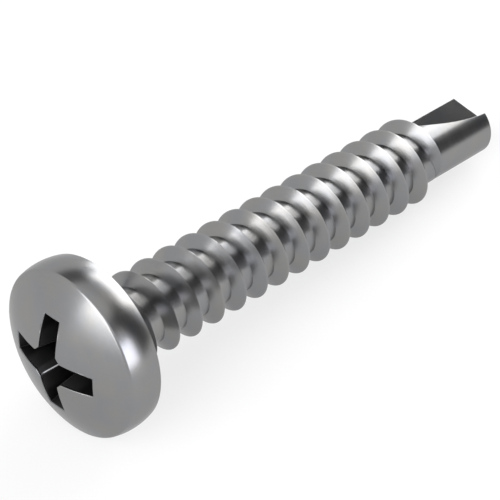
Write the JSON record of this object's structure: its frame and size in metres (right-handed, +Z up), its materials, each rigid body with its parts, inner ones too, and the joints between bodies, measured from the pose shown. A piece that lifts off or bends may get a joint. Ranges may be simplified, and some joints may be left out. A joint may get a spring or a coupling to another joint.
{
  "type": "self drilling screw",
  "caption": "Self drilling screw with a pan head, cross recess, coarse tapping thread up to the head and a fluted drill point, lying at rest.",
  "frame": {"origin": "centre of the bounding box, on the surface that the screw lies on", "axes": "+X along the screw's length from the head towards the drill point, +Z up from the surface that it lies on; the screw's own axis dips 5.8 degrees towards the point, from the head's rim to the thread"},
  "size_m": [0.0329, 0.0096, 0.0096],
  "materials": {
    "steel": "satin"
  },
  "bodies": {
    "root": {"self_drilling_screw": "steel"}
  },
  "joints": []
}
